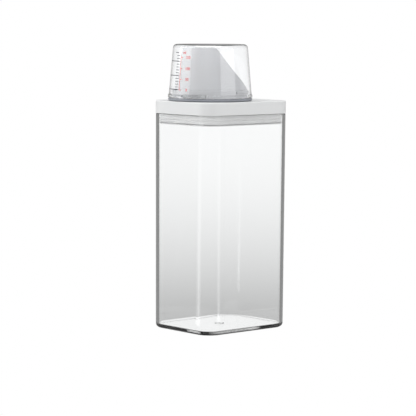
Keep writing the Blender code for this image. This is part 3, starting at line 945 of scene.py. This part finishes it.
def painted_pool_on_floor(tree, place, apex, azimuth, half_width, brightness):
    """A painted pool of light: a wedge of the floor that glows as if a softbox lit it, spreading from one of
    the object's upright edges.
    """
    angle = CAMERA_AZIMUTH + math.radians(azimuth)
    apart = tree.nodes.new("ShaderNodeVectorMath")
    apart.operation = 'SUBTRACT'
    tree.links.new(place, apart.inputs[0])
    apart.inputs[1].default_value = apex
    unit = tree.nodes.new("ShaderNodeVectorMath")
    unit.operation = 'NORMALIZE'
    tree.links.new(apart.outputs["Vector"], unit.inputs[0])
    facing = tree.nodes.new("ShaderNodeVectorMath")
    facing.operation = 'DOT_PRODUCT'
    facing.inputs[1].default_value = (math.sin(angle), -math.cos(angle), 0.0)
    tree.links.new(unit.outputs["Vector"], facing.inputs[0])
    wedge = tree.nodes.new("ShaderNodeMapRange")
    wedge.interpolation_type = 'SMOOTHSTEP'
    wedge.inputs["From Min"].default_value = math.cos(math.radians(half_width + POOL_SOFTNESS))
    wedge.inputs["From Max"].default_value = math.cos(math.radians(half_width - POOL_SOFTNESS))
    wedge.inputs["To Max"].default_value = brightness
    tree.links.new(facing.outputs["Value"], wedge.inputs["Value"])
    return wedge.outputs["Result"]


def painted_pools_from(tree, place, away, apex, start, sizes):
    """Painted pools of light that spread from one upright edge, from a start outwards, and grow dim."""
    pools = 0.0
    for azimuth, half_width, brightness in sizes:
        pools = math_node(tree, 'ADD', pools,
                          painted_pool_on_floor(tree, place, apex, azimuth, half_width, brightness))
    fade = math_node(tree, 'EXPONENT', math_node(tree, 'MULTIPLY', away, -1.0 / POOL_FADE))
    fade = math_node(tree, 'MULTIPLY', fade, math_node(tree, 'GREATER_THAN', away, start))
    return math_node(tree, 'MULTIPLY', pools, fade)


def make_floor():
    """A pale floor that glows: plain white to the eye, painted light and shade to all other rays."""
    bpy.ops.mesh.primitive_circle_add(vertices=96, radius=FLOOR_RADIUS, fill_type='NGON',
                                      location=(0.0, 0.0, -FLOOR_SINK))
    floor = bpy.context.object
    floor.name = "floor"
    made = bpy.data.materials.new("painted_light_floor")
    made.use_nodes = True
    tree = made.node_tree
    tree.nodes.clear()
    out = tree.nodes.new("ShaderNodeOutputMaterial")
    light_path = tree.nodes.new("ShaderNodeLightPath")
    place = tree.nodes.new("ShaderNodeTexCoord").outputs["Object"]
    away = tree.nodes.new("ShaderNodeVectorMath")
    away.operation = 'LENGTH'
    tree.links.new(place, away.inputs[0])
    away = away.outputs["Value"]
    # Painted shade: the floor's glow darkens towards the object's middle.
    painted_shade = math_node(tree, 'EXPONENT', math_node(tree, 'MULTIPLY', away, -1.0 / FLOOR_FALL_REACH))
    level = math_node(tree, 'MULTIPLY_ADD', painted_shade, FLOOR_FALL, FLOOR_THROUGH)
    # Painted light and shade under the foot: bright for rays through walls, dark for rays taken as along a
    # wall's inside.
    under = math_node(tree, 'LESS_THAN', away, UNDER_RADIUS)
    through = mix_value(tree, under, level, FLOOR_UNDER)
    near_apex = (body_low.x + CORNER, body_low.y + CORNER, 0.0)
    far_apex = (body_high.x - CORNER, body_high.y - CORNER, 0.0)
    near_pools = painted_pools_from(tree, place, away, near_apex, NEAR_POOL_START, NEAR_POOLS)
    far_pools = painted_pools_from(tree, place, away, far_apex, FAR_POOL_START, FAR_POOLS)
    far_pools = math_node(tree, 'MULTIPLY', far_pools, after_bounces(tree, light_path, "Glossy Depth", 1))
    near = math_node(tree, 'LESS_THAN', away, FLOOR_FAR)
    edge = math_node(tree, 'ADD', near_pools, mix_value(tree, near, FLOOR_EDGE_FAR, FLOOR_EDGE_NEAR))
    through = math_node(tree, 'ADD', through, far_pools)
    other = math_node(tree, 'ADD', near_pools, FLOOR_OTHER)
    strength = by_path(tree, light_path, edge, through, other, under)
    # The floor is no lamp: its glow is painted light and shade.
    glow = tree.nodes.new("ShaderNodeEmission")
    tree.links.new(strength, glow.inputs["Strength"])
    tree.links.new(glow.outputs["Emission"], out.inputs["Surface"])
    floor.data.materials.append(made)


def make_world():
    """White to the eye, a softer grey as light."""
    world = bpy.data.worlds.new("studio")
    bpy.context.scene.world = world
    world.use_nodes = True
    tree = world.node_tree
    background = tree.nodes["Background"]
    light_path = tree.nodes.new("ShaderNodeLightPath")
    strength = by_path(tree, light_path, WORLD_EDGE, WORLD_THROUGH, WORLD_OTHER)
    tree.links.new(strength, background.inputs["Strength"])
    background.inputs["Color"].default_value = (*WHITE, 1.0)


def softbox(name, azimuth, distance, height, width, tall, radiance, behind):
    """A large soft light, placed by its azimuth from the camera's own.  It faces the object's axis at its
    own height, or the foot if it hangs nearly overhead."""
    data = bpy.data.lights.new(name, 'AREA')
    data.shape = 'RECTANGLE'
    data.size = width
    data.size_y = tall
    data.energy = radiance * math.pi * width * tall
    made = bpy.data.objects.new(name, data)
    bpy.context.scene.collection.objects.link(made)
    angle = CAMERA_AZIMUTH + math.radians(azimuth)
    place = Vector((math.sin(angle) * distance, -math.cos(angle) * distance, height))
    target = Vector((0.0, 0.0, height if distance > height else 0.0))
    made.location = place
    made.rotation_mode = 'QUATERNION'
    made.rotation_quaternion = (place - target).to_track_quat('Z', 'Y')
    data.use_nodes = True
    tree = data.node_tree
    light_path = tree.nodes.new("ShaderNodeLightPath")
    deep = after_bounces(tree, light_path, "Transmission Depth", 1)
    lit = after_bounces(tree, light_path, "Diffuse Depth", 1)
    mirrored = after_bounces(tree, light_path, "Glossy Depth", 1)
    through = mix_value(tree, mirrored, math_node(tree, 'MULTIPLY', lit, behind), 1.0)
    strength = mix_value(tree, deep, 1.0, through)
    tree.links.new(strength, tree.nodes["Emission"].inputs["Strength"])
    made.visible_camera = False


make_container()
make_gate_mark()
make_lid()
make_liner()
make_gasket()
make_beak()
make_collar()
make_lugs()
make_oring()
make_cup_ring()
make_cup()
make_scale()
make_floor()
make_world()
for values in SOFTBOXES:
    softbox(*values)
bpy.context.scene.view_settings.view_transform = 'Standard'
